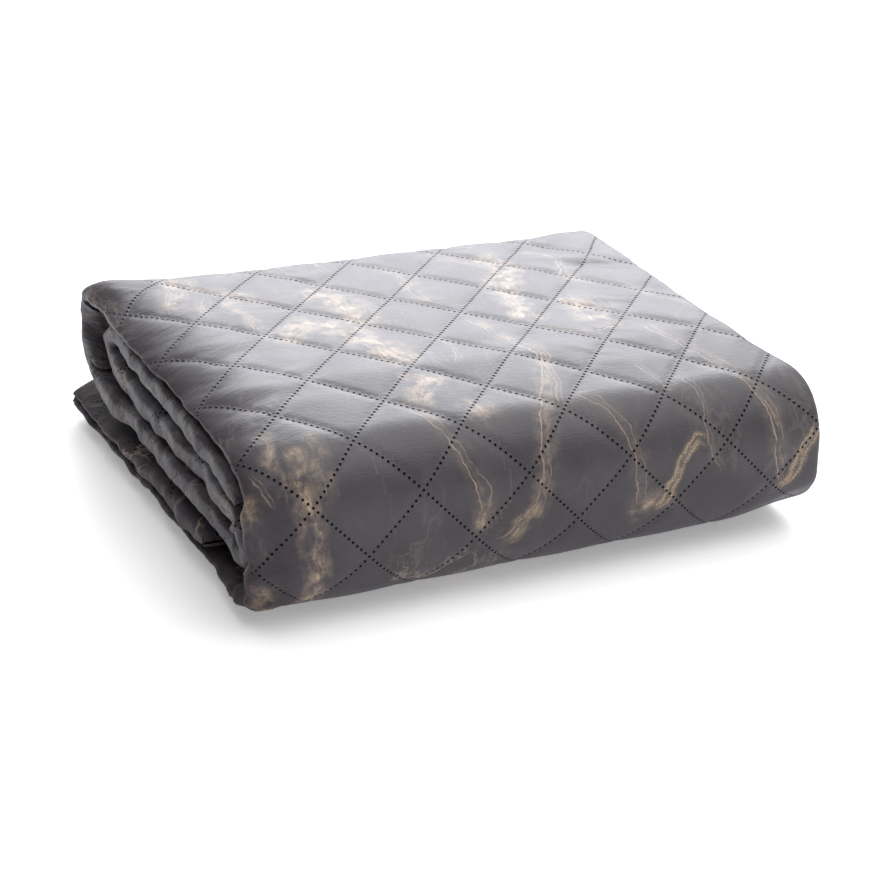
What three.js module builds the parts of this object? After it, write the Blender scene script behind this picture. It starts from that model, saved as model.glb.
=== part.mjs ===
// A quilted bedspread, folded away. It is folded in four across its width, which makes a strip of four
// sheets, and the strip is folded back and forth into a pack of six runs that lies on one of them.
// Millimetres, +Z up. X runs along the pack, its smooth folded front faces -Y, and the origin is on the
// surface that it lies on, under the middle of the pack's box.

import * as THREE from "three";

// Driving sizes
const OUTSIDE = 9; // from the middle of the strip to the weld lines on its outer face
const INSIDE = 10; // from the middle of the strip to its inner face
const EDGE_ROUND = 11; // how far the strip's two folded edges take to round over
const DIAMOND_LENGTH = 80; // a welded diamond along X, corner to corner
const DIAMOND_DEPTH = 87.5; // a welded diamond along the strip, corner to corner
const WELD_X = -13.5; // a crossing of the weld lines on the top, its place along X
const WELD_Y = -133; // and its place from front to back
const SHOWN_PUFF = 3; // how far a diamond stands above its weld lines where it is free to
const HELD_PUFF = 1; // and between two runs, where it is pressed
const EDGE_SCALLOP = 3; // how far the folded edges swell between the weld lines
const HEM_STEP = 5; // the last stretch at the strip's two ends, where it thins
const HEM_SHARE = 0.55; // the share of its thickness that is left there
const FALL_TO_RIGHT = 0.075; // the share of the height that the pack loses from left to right
const BACK_FLARE = { reach: 20, decay: 42, right: 0.5, low: 44, high: 62 };
const FLARED_SKIN = { from: 60, full: 120 }; // where along Y the upper back fold takes up the flare
const FLARED_WITHIN = { from: 135, full: 155, low: 67, high: 114 }; // and the runs that lie inside it

// The strip's way through the pack, seen from the left end: y and z are where its middle would turn if
// the folds were sharp, and bend is the radius that each is rounded to. left and right are the X of the
// strip's folded edges there, puff how far its diamonds stand and inside its thickness to the inner face.
const COLUMNS = ["at", "y", "z", "bend", "left", "right", "puff", "inside"];
const FOLDS = [
  ["end under the pack", -112, 30.5, 0, -219, 219, HELD_PUFF, 8],
  ["fifth run", -60, 31, 40, -221, 218, HELD_PUFF, INSIDE],
  ["lower back fold, top", 201, 31, 10.4, -229, 214, 2, INSIDE],
  ["lower back fold, foot", 201, 10, 10.4, -229, 215, SHOWN_PUFF, INSIDE],
  ["sixth run, near the front", -120, 10.3, 40, -216, 226, SHOWN_PUFF, INSIDE],
  ["front, foot", -196, 10, 49, -216, 229, SHOWN_PUFF, 16],
  ["front, brow", -199, 119, 41, -215, 227, SHOWN_PUFF, 11],
  ["top, where it levels", -93, 128, 150, -218, 212, SHOWN_PUFF, 11.5],
  ["upper back fold, top", 163, 127, 36, -225, 219, SHOWN_PUFF, 11.5],
  ["upper back fold, foot", 163, 54.5, 36, -225, 217, HELD_PUFF, 12],
  ["fourth run, where it sinks", -104, 54.5, 40, -219, 216, HELD_PUFF, 12],
  ["inner front fold, foot", -170, 37, 17, -213, 214, HELD_PUFF, 12],
  ["inner front fold, top", -170, 76, 17, -213, 214, HELD_PUFF, 12],
  ["third run, level", -70, 80, 100, -218, 215, HELD_PUFF, 12],
  ["inner back fold, foot", 134, 80, 10.9, -217, 213, HELD_PUFF, 12],
  ["inner back fold, top", 134, 102, 10.9, -217, 213, HELD_PUFF, 12],
  ["second run, level", -70, 102, 100, -218, 214, HELD_PUFF, 12.5],
  ["second run, falling", -146, 101.3, 40, -217, 213, HELD_PUFF, 10],
  ["end under the top", -177, 90.5, 0, -215, 213, HELD_PUFF, 8],
].map((row) => Object.fromEntries(row.map((value, i) => [COLUMNS[i], value])));

// How finely the faces are cut
const COLUMN = DIAMOND_LENGTH / 4;
const ROW = DIAMOND_DEPTH / 4;
const FIRST_COLUMN = -9;
const LAST_COLUMN = 10;
const INNER_COLUMNS = 6;
const EDGE_ANGLES = [60, 30, 0, -30, -60];
const CLOSEST_RINGS = ROW / 6;
const ROOM_AT_END = ROW / 3;
const WALK_STEP = 0.5;
const TURN_LIMIT = THREE.MathUtils.degToRad(32);
const SHOWN_RUNS = { from: "lower back fold, top", to: "upper back fold, foot" };

// The route as straight and round pieces, each with its length and a function to walk it
function roundedRoute(rows) {
  const corners = rows.map((row) => new THREE.Vector2(row.y, row.z));
  const pieces = [];
  const corner = [0];
  let from = corners[0].clone();
  let length = 0;
  const addLine = (to) => {
    const along = to.clone().sub(from);
    const size = along.length();
    if (size > 1e-6) {
      const heading = along.clone().normalize();
      const start = from.clone();
      const placeAt = (s) => start.clone().addScaledVector(heading, s);
      pieces.push({ size, walk: (s) => ({ place: placeAt(s), heading, turn: 0 }) });
      length += size;
    }
    from = to.clone();
  };
  for (let i = 1; i < rows.length - 1; i += 1) {
    const before = corners[i].clone().sub(corners[i - 1]).normalize();
    const after = corners[i + 1].clone().sub(corners[i]).normalize();
    const sweep = Math.atan2(before.cross(after), before.dot(after));
    const radius = rows[i].bend;
    const reach = radius * Math.tan(Math.abs(sweep) / 2);
    addLine(corners[i].clone().addScaledVector(before, -reach));
    const side = Math.sign(sweep);
    const centre = from.clone().add(new THREE.Vector2(-before.y, before.x).multiplyScalar(radius * side));
    const arm = from.clone().sub(centre);
    const size = radius * Math.abs(sweep);
    const origin = new THREE.Vector2();
    pieces.push({
      size,
      walk: (s) => {
        const angle = (s / radius) * side;
        return {
          place: arm.clone().rotateAround(origin, angle).add(centre),
          heading: before.clone().rotateAround(origin, angle),
          turn: side / radius,
        };
      },
    });
    corner.push(length + size / 2);
    length += size;
    from = corners[i].clone().addScaledVector(after, reach);
  }
  addLine(corners[corners.length - 1]);
  corner.push(length);
  return { pieces, corner, length };
}

// Small steps along the route, with the length walked on the outer face, where the weld lines are laid out
function walkRoute(route) {
  const steps = [];
  let start = 0;
  let outer = 0;
  for (const piece of route.pieces) {
    const count = Math.max(1, Math.round(piece.size / WALK_STEP));
    for (let i = 0; i < count; i += 1) {
      const step = piece.walk((piece.size * i) / count);
      steps.push({ ...step, s: start + (piece.size * i) / count, outer });
      outer += (piece.size / count) * (1 - step.turn * OUTSIDE);
    }
    start += piece.size;
  }
  const last = route.pieces[route.pieces.length - 1];
  steps.push({ ...last.walk(last.size), s: start, outer });
  return steps;
}

const smooth = (share) => THREE.MathUtils.smoothstep(share, 0, 1);

// The strip's edges, puff and inner thickness at a place along the route, eased from row to row
function stripAt(route, s) {
  let i = 0;
  while (i < FOLDS.length - 2 && s > route.corner[i + 1]) i += 1;
  const share = smooth((s - route.corner[i]) / (route.corner[i + 1] - route.corner[i]));
  const ease = (name) => THREE.MathUtils.lerp(FOLDS[i][name], FOLDS[i + 1][name], share);
  return { left: ease("left"), right: ease("right"), puff: ease("puff"), inside: ease("inside") };
}

// 0 on a weld line, 1 in the middle of a diamond
function puffShare(x, outer, weldOuter) {
  const along = (x - WELD_X) / DIAMOND_LENGTH;
  const down = (outer - weldOuter) / DIAMOND_DEPTH;
  const fromLine = (q) => Math.sin(Math.PI * Math.abs(q - Math.round(q)));
  return fromLine(along + down) * fromLine(along - down);
}

// The places along the route where a ring of points is laid: on the quarter diamonds where the strip
// shows, on the half diamonds inside the pack, and closer wherever it turns
function stations(route, steps, weldOuter) {
  const cornerOf = (name) => route.corner[FOLDS.findIndex((row) => row.at === name)];
  const shownFrom = cornerOf(SHOWN_RUNS.from);
  const shownTo = cornerOf(SHOWN_RUNS.to);
  const kept = [steps[0]];
  let turned = 0;
  for (let i = 1; i < steps.length - 1; i += 1) {
    const [a, b] = [steps[i - 1], steps[i]];
    const shown = b.s > shownFrom && b.s < shownTo;
    const cell = shown ? ROW : 2 * ROW;
    const last = kept[kept.length - 1];
    turned += Math.abs(a.turn) * (b.s - a.s);
    const onGrid = Math.floor((b.outer - weldOuter) / cell) !== Math.floor((a.outer - weldOuter) / cell);
    const roomBefore = b.s - last.s > CLOSEST_RINGS;
    if ((onGrid && roomBefore) || turned > TURN_LIMIT) {
      kept.push(b);
      turned = 0;
    }
  }
  const end = steps[steps.length - 1];
  if (end.s - kept[kept.length - 1].s < ROOM_AT_END) kept.pop();
  kept.push(end);
  return kept;
}

// The pack isn't quite true: it is lower at its right end, and the upper back fold swings out at both
function settle(point) {
  const { reach, decay, right, low, high } = BACK_FLARE;
  const ends = FOLDS.find((row) => row.at === "upper back fold, top");
  const near = (distance) => Math.exp(-((Math.max(distance, 0) / decay) ** 2));
  const swing = near(point.x - ends.left) + right * near(ends.right - point.x);
  const within = point.z > FLARED_WITHIN.low && point.z < FLARED_WITHIN.high;
  const { from, full } = within ? FLARED_WITHIN : FLARED_SKIN;
  const back = THREE.MathUtils.smoothstep(point.y, from, full);
  const held = back * THREE.MathUtils.smoothstep(point.z, low, high);
  const across = (point.x - ends.left) / (ends.right - ends.left);
  point.y += reach * swing * held;
  point.z = Math.max(0, point.z * (1 - FALL_TO_RIGHT * across));
  return point;
}

// One ring round the strip: its outer face, right edge, inner face and left edge
function ring(route, station, weldOuter, thin, step) {
  const { left, right, puff, inside } = stripAt(route, station.s);
  const normal = new THREE.Vector2(-station.heading.y, station.heading.x);
  const place = station.place.clone().addScaledVector(station.heading, step);
  const swell = (x) => EDGE_SCALLOP * (puffShare(x, station.outer, weldOuter) - 0.5);
  const ends = [left - swell(left), right + swell(right)];
  const outerFace = (x) => OUTSIDE + puff * puffShare(x, station.outer, weldOuter);
  const faceEnds = [ends[0] + EDGE_ROUND, ends[1] - EDGE_ROUND];
  const points = [];
  const add = (x, across) => {
    const at = place.clone().addScaledVector(normal, across * thin);
    points.push(settle(new THREE.Vector3(x, at.x, at.y)));
  };
  const addEdge = (side, angles) => {
    const outside = outerFace(faceEnds[side]);
    const middle = (outside - inside) / 2;
    const half = (outside + inside) / 2;
    for (const angle of angles) {
      const turn = THREE.MathUtils.degToRad(angle);
      const x = faceEnds[side] + (side === 0 ? -1 : 1) * EDGE_ROUND * Math.cos(turn);
      add(x, middle + half * Math.sin(turn));
    }
  };
  add(faceEnds[0], outerFace(faceEnds[0]));
  for (let column = FIRST_COLUMN; column <= LAST_COLUMN; column += 1) {
    const x = WELD_X + column * COLUMN;
    add(x, outerFace(x));
  }
  add(faceEnds[1], outerFace(faceEnds[1]));
  addEdge(1, EDGE_ANGLES);
  for (let column = 0; column <= INNER_COLUMNS + 1; column += 1) {
    const share = column / (INNER_COLUMNS + 1);
    add(THREE.MathUtils.lerp(faceEnds[1], faceEnds[0], share), -inside);
  }
  addEdge(0, [...EDGE_ANGLES].reverse());
  return { points, heights: points.map((p) => puffShare(p.x, station.outer, weldOuter)) };
}

// The closed skin of the strip. The outer face is split along the weld lines, so that they stay sharp.
function stripGeometry() {
  const route = roundedRoute(FOLDS);
  const steps = walkRoute(route);
  const top = route.corner[FOLDS.findIndex((row) => row.at === "top, where it levels")];
  const onTop = steps.filter((step) => step.s < top + DIAMOND_DEPTH && step.s > top - DIAMOND_DEPTH);
  const weldOuter = onTop.reduce((best, step) =>
    Math.abs(step.place.x - WELD_Y) < Math.abs(best.place.x - WELD_Y) ? step : best,
  ).outer;
  const kept = stations(route, steps, weldOuter);
  const rings = [
    ring(route, kept[0], weldOuter, HEM_SHARE, -HEM_STEP),
    ...kept.map((station) => ring(route, station, weldOuter, 1, 0)),
    ring(route, kept[kept.length - 1], weldOuter, HEM_SHARE, HEM_STEP),
  ];
  const around = rings[0].points.length;
  const outerCount = LAST_COLUMN - FIRST_COLUMN + 3;
  const index = [];
  for (let j = 0; j < rings.length - 1; j += 1) {
    for (let i = 0; i < around; i += 1) {
      const next = (i + 1) % around;
      const [a, b] = [j * around + i, j * around + next];
      const [c, d] = [b + around, a + around];
      const [here, there] = [rings[j].heights, rings[j + 1].heights];
      const alongAC = i < outerCount - 1 && here[i] + there[next] < here[next] + there[i];
      index.push(...(alongAC ? [a, b, c, a, c, d] : [a, b, d, b, c, d]));
    }
  }
  const outline = rings[0].points.map((p) => new THREE.Vector2(p.x, p.z));
  for (const [base, flip] of [
    [0, false],
    [(rings.length - 1) * around, true],
  ]) {
    const caps = THREE.ShapeUtils.triangulateShape(outline, []);
    for (const [a, b, c] of caps) index.push(base + a, base + (flip ? c : b), base + (flip ? b : c));
  }
  const positions = rings.flatMap(({ points }) => points.flatMap((p) => [p.x, p.y, p.z]));
  const geometry = new THREE.BufferGeometry();
  geometry.setAttribute("position", new THREE.Float32BufferAttribute(positions, 3));
  geometry.setIndex(index);
  geometry.computeVertexNormals();
  return geometry;
}

// The pack, moved so that its box is centred over the origin
function bedspread() {
  const geometry = stripGeometry();
  geometry.computeBoundingBox();
  const middle = geometry.boundingBox.getCenter(new THREE.Vector3());
  geometry.translate(-middle.x, -middle.y, 0);
  const cloth = new THREE.MeshStandardMaterial({ color: 0x5b585e, roughness: 0.62, metalness: 0 });
  const mesh = new THREE.Mesh(geometry, cloth);
  mesh.name = "bedspread";
  return mesh;
}

const pack = new THREE.Group();
pack.add(bedspread());
export default pack;
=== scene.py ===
from math import atan2, cos, hypot, pi, radians, sin, tan

import bpy
import numpy as np
from mathutils import Matrix, Vector


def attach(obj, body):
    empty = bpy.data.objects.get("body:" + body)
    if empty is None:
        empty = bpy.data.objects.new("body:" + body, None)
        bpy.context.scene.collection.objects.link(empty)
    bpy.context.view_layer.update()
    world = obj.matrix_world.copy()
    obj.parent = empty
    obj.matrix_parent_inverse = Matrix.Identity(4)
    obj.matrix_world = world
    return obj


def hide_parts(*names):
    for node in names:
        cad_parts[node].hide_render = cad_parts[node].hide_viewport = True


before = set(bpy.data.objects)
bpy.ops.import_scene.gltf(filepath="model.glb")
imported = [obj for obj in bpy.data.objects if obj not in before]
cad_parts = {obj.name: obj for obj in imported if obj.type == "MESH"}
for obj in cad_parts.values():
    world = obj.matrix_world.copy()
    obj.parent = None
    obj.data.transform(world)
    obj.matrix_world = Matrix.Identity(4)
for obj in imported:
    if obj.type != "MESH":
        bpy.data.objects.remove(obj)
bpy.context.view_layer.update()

MM = 0.001

# The pack of the folded spread. Millimetres, in the frame's axes: X along the wrapped front, -Y out of it.
OUTSIDE = 9  # from the middle of the strip to the weld lines on its outer face
INSIDE = 10  # and to its inner face
DIAMOND_LENGTH = 80  # a welded diamond along X, corner to corner
DIAMOND_DEPTH = 87.5  # and along the strip
WELD_X = -13.5  # a crossing of the weld lines on the top
WELD_Y = -133
TOP_PUFF = 1.75  # how far a diamond stands above its weld lines
FRONT_PUFF = 1.4
HELD_PUFF = 1
FALL_TO_RIGHT = 0.075  # the share of its height that the pack loses from left to right
FLARE_REACH = 20  # how far the upper back fold swings out at its left end
FLARE_DECAY = 42
FLARE_RIGHT = 0.5
FLARED_HEIGHTS = (44, 62)
FLARED_SKIN = (60, 120)
FLARED_WITHIN = (135, 155)
WITHIN_HEIGHTS = (67, 114)
FOOT_OUT = 4.5  # how far the foot of the front comes out at the left
FOOT_BELOW = 80
CORNER_LIFT = 9  # the front right corner at the foot
LIFT_FROM = 158
LIFT_REACH = 62
LIFT_BELOW = 56
IN_FRONT_FROM = 110
IN_FRONT_REACH = 70
BOX_MIDDLE = (0.19, 1.31)  # of the pack as laid out, taken off X and Y

# The strip's way through the pack: its middle line turns at y, z with radius bend, and left and right are
# its folded edges there.
FOLD_COLUMNS = ("at", "y", "z", "bend", "left", "right", "puff", "inside")
FOLDS = [dict(zip(FOLD_COLUMNS, row)) for row in (
    ("end under the pack", -112, 30.5, 0, -219, 219, HELD_PUFF, 8),
    ("fifth run", -60, 31, 40, -221, 218, HELD_PUFF, INSIDE),
    ("lower back fold, top", 201, 31, 10.4, -229, 214, 2, INSIDE),
    ("lower back fold, foot", 201, 10, 10.4, -229, 215, TOP_PUFF, INSIDE),
    ("sixth run, near the front", -120, 10.3, 40, -216, 226, TOP_PUFF, INSIDE),
    ("front, foot", -196, 10, 49, -216, 229, FRONT_PUFF, 16),
    ("front, brow", -199, 119, 41, -215, 227, FRONT_PUFF, 11),
    ("top, where it levels", -93, 128, 150, -218, 212, TOP_PUFF, 11.5),
    ("upper back fold, top", 163, 127, 36, -225, 219, TOP_PUFF, 11.5),
    ("upper back fold, foot", 163, 54.5, 36, -225, 217, HELD_PUFF, 12),
    ("fourth run, where it sinks", -104, 54.5, 40, -219, 216, HELD_PUFF, 12),
    ("inner front fold, foot", -170, 37, 17, -213, 214, HELD_PUFF, 12),
    ("inner front fold, top", -170, 76, 17, -213, 214, HELD_PUFF, 12),
    ("third run, level", -70, 80, 100, -218, 215, HELD_PUFF, 12),
    ("inner back fold, foot", 134, 80, 10.9, -217, 213, HELD_PUFF, 12),
    ("inner back fold, top", 134, 102, 10.9, -217, 213, HELD_PUFF, 12),
    ("second run, level", -70, 102, 100, -218, 214, HELD_PUFF, 12.5),
    ("second run, falling", -146, 101.3, 40, -217, 213, HELD_PUFF, 10),
    ("end under the top", -177, 90.5, 0, -215, 213, HELD_PUFF, 8),
)]

# How finely the cloth is laid out
CELLS = 24  # in a diamond, each way
CELL_X = DIAMOND_LENGTH / CELLS
CELL_T = DIAMOND_DEPTH / CELLS
FIRST_CELL = -50
LAST_CELL = 61
COARSE = 4
SHOWN_FROM = "lower back fold, foot"
SHOWN_TO = "upper back fold, foot"


# Camera, at the photograph's angle
PHOTO_SIDE = 870
FOCAL_PIXELS = 2090
SENSOR = 36
CAMERA_AZIMUTH = -24.87
CAMERA_HEIGHT_ANGLE = 24.86
CAMERA_ROLL = -1.3
CAMERA_PLACE = (-620.8, -1359.3, 722.2)


def make_camera():
    azimuth, rise, roll = radians(CAMERA_AZIMUTH), radians(CAMERA_HEIGHT_ANGLE), radians(CAMERA_ROLL)
    back = Vector((sin(azimuth) * cos(rise), -cos(azimuth) * cos(rise), sin(rise)))
    right = Vector((0, 0, 1)).cross(back).normalized()
    up = back.cross(right)
    rolled_right = right * cos(roll) - up * sin(roll)
    rolled_up = right * sin(roll) + up * cos(roll)
    data = bpy.data.cameras.new("camera")
    data.sensor_width = SENSOR
    data.lens = SENSOR * FOCAL_PIXELS / PHOTO_SIDE
    camera = bpy.data.objects.new("camera", data)
    bpy.context.scene.collection.objects.link(camera)
    turn = Matrix((rolled_right, rolled_up, back)).transposed().to_4x4()
    camera.matrix_world = Matrix.Translation(Vector(CAMERA_PLACE) * MM) @ turn
    bpy.context.scene.camera = camera


make_camera()


# The strip's route, seen from the left end


def rounded_route(rows):
    """Straight and round stretches of the middle line, and how far along it each row of the table lies."""
    corners = [np.array((row["y"], row["z"]), float) for row in rows]
    stretches, corner_at, length, start = [], [0.0], 0.0, corners[0]
    for before, here, after, row in zip(corners, corners[1:], corners[2:], rows[1:]):
        into = (here - before) / np.linalg.norm(here - before)
        out = (after - here) / np.linalg.norm(after - here)
        sweep = atan2(into[0] * out[1] - into[1] * out[0], into @ out)
        reach = row["bend"] * tan(abs(sweep) / 2)
        turn_from = here - into * reach
        stretches.append((length, start, into, 0.0))
        length += np.linalg.norm(turn_from - start)
        stretches.append((length, turn_from, into, np.sign(sweep) / row["bend"]))
        corner_at.append(length + row["bend"] * abs(sweep) / 2)
        length += row["bend"] * abs(sweep)
        start = here + out * reach
    last = np.linalg.norm(corners[-1] - start)
    stretches.append((length, start, out, 0.0))
    corner_at.append(length + last)
    return stretches, np.array(corner_at), length + last


def walk(stretches, s):
    """Place, heading and turn of the middle line at the lengths s."""
    starts = np.array([stretch[0] for stretch in stretches])
    which = np.clip(np.searchsorted(starts, s, side="right") - 1, 0, len(stretches) - 1)
    local = s - starts[which]
    begin, into, turn = (np.array([stretch[i] for stretch in stretches])[which] for i in (1, 2, 3))
    angle = local * turn
    side = np.stack([-into[:, 1], into[:, 0]], 1)
    heading = into * np.cos(angle)[:, None] + side * np.sin(angle)[:, None]
    bent = np.abs(turn) > 0
    safe = np.where(bent, turn, 1.0)
    ahead = np.where(bent, np.sin(angle) / safe, local)
    aside = np.where(bent, (1 - np.cos(angle)) / safe, 0.0)
    place = begin + into * ahead[:, None] + side * aside[:, None]
    return place, heading, turn


def smooth(share):
    """Eased from 0 to 1, and held outside that."""
    share = np.clip(share, 0, 1)
    return share * share * (3 - 2 * share)


ROUTE, CORNER_AT, ROUTE_LENGTH = rounded_route(FOLDS)
WALK_STEP = 0.25
fine_s = np.arange(0, ROUTE_LENGTH, WALK_STEP)
fine_place, _, fine_turn = walk(ROUTE, fine_s)
fine_outer = np.concatenate([[0], np.cumsum(WALK_STEP * (1 - fine_turn[:-1] * OUTSIDE))])


def along_at(name):
    """How far along the strip a row of the folds table lies."""
    return CORNER_AT[[row["at"] for row in FOLDS].index(name)]


def weld_start():
    """The outer length at which the weld lines cross on the top."""
    near = np.abs(fine_s - along_at("top, where it levels")) < DIAMOND_DEPTH
    return fine_outer[near][np.argmin(np.abs(fine_place[near, 0] - WELD_Y))]


WELD_OUTER = weld_start()


def strip_at(s, name):
    """A column of the folds table, eased from row to row."""
    i = np.clip(np.searchsorted(CORNER_AT, s, side="right") - 1, 0, len(FOLDS) - 2)
    share = smooth((s - CORNER_AT[i]) / (CORNER_AT[i + 1] - CORNER_AT[i]))
    values = np.array([row[name] for row in FOLDS], float)
    return values[i] * (1 - share) + values[i + 1] * share


def row_lengths():
    """t, the cloth's own length from the crossing on the top, in cells all the way along the strip."""
    first = int(np.ceil((fine_outer[0] - WELD_OUTER) / CELL_T))
    last = int(np.floor((fine_outer[-1] - WELD_OUTER) / CELL_T))
    t = np.arange(first, last + 1) * CELL_T
    s = np.interp(t + WELD_OUTER, fine_outer, fine_s)
    return t, s


def diamonds(u, t):
    """The two counts across the weld lines: each line is where one of them is whole."""
    along, down = (u - WELD_X) / DIAMOND_LENGTH, t / DIAMOND_DEPTH
    return along + down, along - down


WELD_SPACING = 1 / hypot(1 / DIAMOND_LENGTH, 1 / DIAMOND_DEPTH)
GROOVE = 2.3
GROOVE_POWER = 1.5
CROWN_SHARE = 0.6


def puff_share(u, t):
    """0 on a weld line, 1 in the middle of a diamond: a narrow groove in a soft crown."""
    first, second = diamonds(u, t)
    apart = lambda q: WELD_SPACING * np.abs(q - np.round(q))
    dip = lambda q: 1 - np.exp(-((apart(q) / GROOVE) ** GROOVE_POWER))
    arch = lambda q: np.abs(np.sin(pi * q))
    return (1 - CROWN_SHARE) * dip(first) * dip(second) + CROWN_SHARE * arch(first) * arch(second)


# Soft random waves over the cloth. Size is their size along it. Across is 1 where they are as small across
# it, less where they are longer, and 0 where they run straight across. Height is how high they go.
WAVES = {
    "puffs": dict(size=55, across=1, height=0.22, seed=1),
    "swell": dict(size=90, across=1, height=0.7, seed=2),
    "long gathers": dict(size=13, across=0.35, height=0.75, seed=5),
    "short gathers": dict(size=6.5, across=0.5, height=0.4, seed=6),
    "crumple": dict(size=11, across=1, height=1, seed=7),
    "fine crumple": dict(size=6, across=1, height=0.3, seed=12),
    "rim rise": dict(size=34, across=0, height=1, seed=8),
    "rim wander": dict(size=44, across=0, height=1, seed=9),
    "rim shiver": dict(size=15, across=0, height=0.3, seed=14),
}
DRAWS = 64
FIRST_DRAW = (21.3, 17.9)


def uneven(u, t, name):
    """One of the waves at each point of the cloth, from minus its height to its height."""
    wave = WAVES[name]
    draw = np.random.default_rng(wave["seed"]).uniform(-1, 1, (DRAWS, DRAWS))
    x, y = wave["across"] * u / wave["size"] + FIRST_DRAW[0], t / wave["size"] + FIRST_DRAW[1]
    i, j = np.floor(x).astype(int), np.floor(y).astype(int)
    a, b = smooth(x - i), smooth(y - j)
    at = lambda di, dj: draw[(i + di) % DRAWS, (j + dj) % DRAWS]
    low = at(0, 0) * (1 - a) + at(1, 0) * a
    high = at(0, 1) * (1 - a) + at(1, 1) * a
    return wave["height"] * (low * (1 - b) + high * b)


# Creases, each a soft trough or ridge along a line on the cloth. u and t are the middle of it, and the
# angle is from the u axis.
CREASE_COLUMNS = ("u", "t", "angle", "length", "width", "height")
CREASES = [dict(zip(CREASE_COLUMNS, row)) for row in (
    (-196, 20, 8, 62, 7, -1.1),
    (-188, 44, -12, 70, 8, 1.0),
    (-196, 92, 14, 58, 7, -1.2),
    (-190, 128, -6, 66, 9, 0.9),
    (-194, 168, 20, 48, 7, -1.0),
    (-186, -28, -18, 60, 8, -1.2),
    (-178, -64, -30, 56, 8, 0.8),
    (-200, -96, 24, 40, 6, -1.0),
    (-150, 12, 4, 64, 10, 0.6),
    (-120, 96, -10, 74, 11, -0.6),
    (-30, 150, 12, 90, 12, 0.6),
    (36, 70, 6, 84, 11, -0.6),
    (94, 8, -14, 62, 10, 0.6),
    (128, 110, 18, 70, 10, -0.7),
    (160, 20, 34, 58, 9, 0.8),
    (150, -18, 28, 52, 8, -0.7),
    (190, 60, -40, 60, 9, 0.9),
    (176, -132, 52, 46, 8, 0.8),
    (64, -120, -24, 54, 9, 0.5),
    (-60, -96, 16, 70, 11, 0.5),
    (-128, -140, -20, 60, 9, 0.6),
    (196, 190, -24, 50, 9, -1.0),
    (-60, 240, 4, 100, 9, 0.7),
    (80, 262, -5, 90, 8, -0.7),
    (168, 214, -14, 76, 8, 1.3),
    (176, 196, -10, 60, 7, -1.4),
    (150, 244, 8, 70, 9, -1.0),
    (190, 232, 30, 48, 8, 1.0),
    (120, 196, 22, 60, 9, 0.8),
    (204, 128, -36, 52, 8, -1.1),
    (212, 30, 64, 60, 9, 1.0),
    (206, -60, 74, 70, 8, -0.9),
    (206, -150, 30, 56, 7, 1.6),
    (190, -164, 14, 60, 7, -1.7),
    (214, -176, 48, 44, 7, 1.2),
    (120, 62, -28, 46, 4, 0.6),
    (132, 84, -34, 52, 4.5, -0.6),
    (152, 118, -24, 50, 4, 0.7),
    (166, 134, -20, 44, 4, -0.6),
    (88, 28, -36, 40, 4, 0.5),
    (176, 40, -22, 40, 4, 0.5),
    (60, 150, 10, 56, 4.5, -0.5),
    (-40, 190, 6, 60, 4.5, 0.5),
    (-104, 178, -8, 54, 4.5, -0.5),
    (-140, 60, 18, 46, 4.5, 0.6),
    (-176, 76, 30, 44, 4, 0.7),
    (-168, 108, 26, 40, 4, -0.7),
    (-182, 4, 34, 40, 4, 0.7),
    (-162, 148, 22, 48, 4, 0.6),
    (-36, -60, -12, 58, 5, 0.4),
    (110, -60, 20, 60, 5, -0.4),
)]
CREASE_BOW = 0.0025


def creased(u, t):
    """How high the creases stand at each point of the cloth."""
    height = np.zeros(u.shape)
    for crease in CREASES:
        angle = radians(crease["angle"])
        along = (u - crease["u"]) * cos(angle) + (t - crease["t"]) * sin(angle)
        aside = (t - crease["t"]) * cos(angle) - (u - crease["u"]) * sin(angle)
        bow = aside - CREASE_BOW * along * along
        faded = (along / (0.5 * crease["length"])) ** 2 + (bow / crease["width"]) ** 2
        height += crease["height"] * np.exp(-faded)
    return height


# The section of the strip: one cloth in four layers, from its first hem to its second. Each part gives its
# points as x and w, the distance from the middle line.
LEFT_TOP_ROUND = 28
LEFT_FOOT_ROUND = 12
RIGHT_ROUND = 7
ROLLED_POWER = 2.1
HELD_POWER = 3.4
MIDDLE_GAP = 0.8
HEM_BACK = 9
END_PINCH = 16
END_SHARE = 0.12
ROLL_REACH = 66
ROLL_DROP = 9.5
OUTER_FROM = 2
OUTER_EASE = 6
RIM_PUFF = 1.1
RIM_FROM = 20
RIM_EASE = 16
NEAR_RIM_FROM = 42
NEAR_RIM_EASE = 36
RIGHT_EASE = 34
RIGHT_FLAT = 0.7
RIM_RIPPLE = 1.45
RIM_WAVE = 2.2
RIM_WANDER = 2.6
HELD_WANDER = 1.5
FOOT_CRUMPLE = 3.8
FOOT_REACH = 44
INNER_CRUMPLE = 0.6
CRUMPLE_ACROSS = (0.8, 0.5)
CRUMPLE_ALONG = (-0.4, 1)
BACK_HOLD = 85
BACK_SHARE = 0.75
TINY = 1e-9
LEFT_STEPS, ARC_STEPS, SMALL_ARC_STEPS, SIDE_STEPS, DEEP_STEPS = 6, 22, 9, 6, 10


def blend(a, b, share):
    """From a to b in each row, by the shares along it."""
    return a[:, None] * (1 - share)[None, :] + b[:, None] * share[None, :]


def corner_round(start, end, power, steps):
    """Half a superellipse from w start to w end, as (reach share, w) over the steps."""
    angle = np.linspace(pi / 2, -pi / 2, steps + 1)[None, :]
    flat = 2 / power[:, None]
    reach = np.abs(np.cos(angle)) ** flat
    rise = np.sign(np.sin(angle)) * np.abs(np.sin(angle)) ** flat
    middle, half = (start + end) / 2, (start - end) / 2
    return reach, middle[:, None] + half[:, None] * rise


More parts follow.
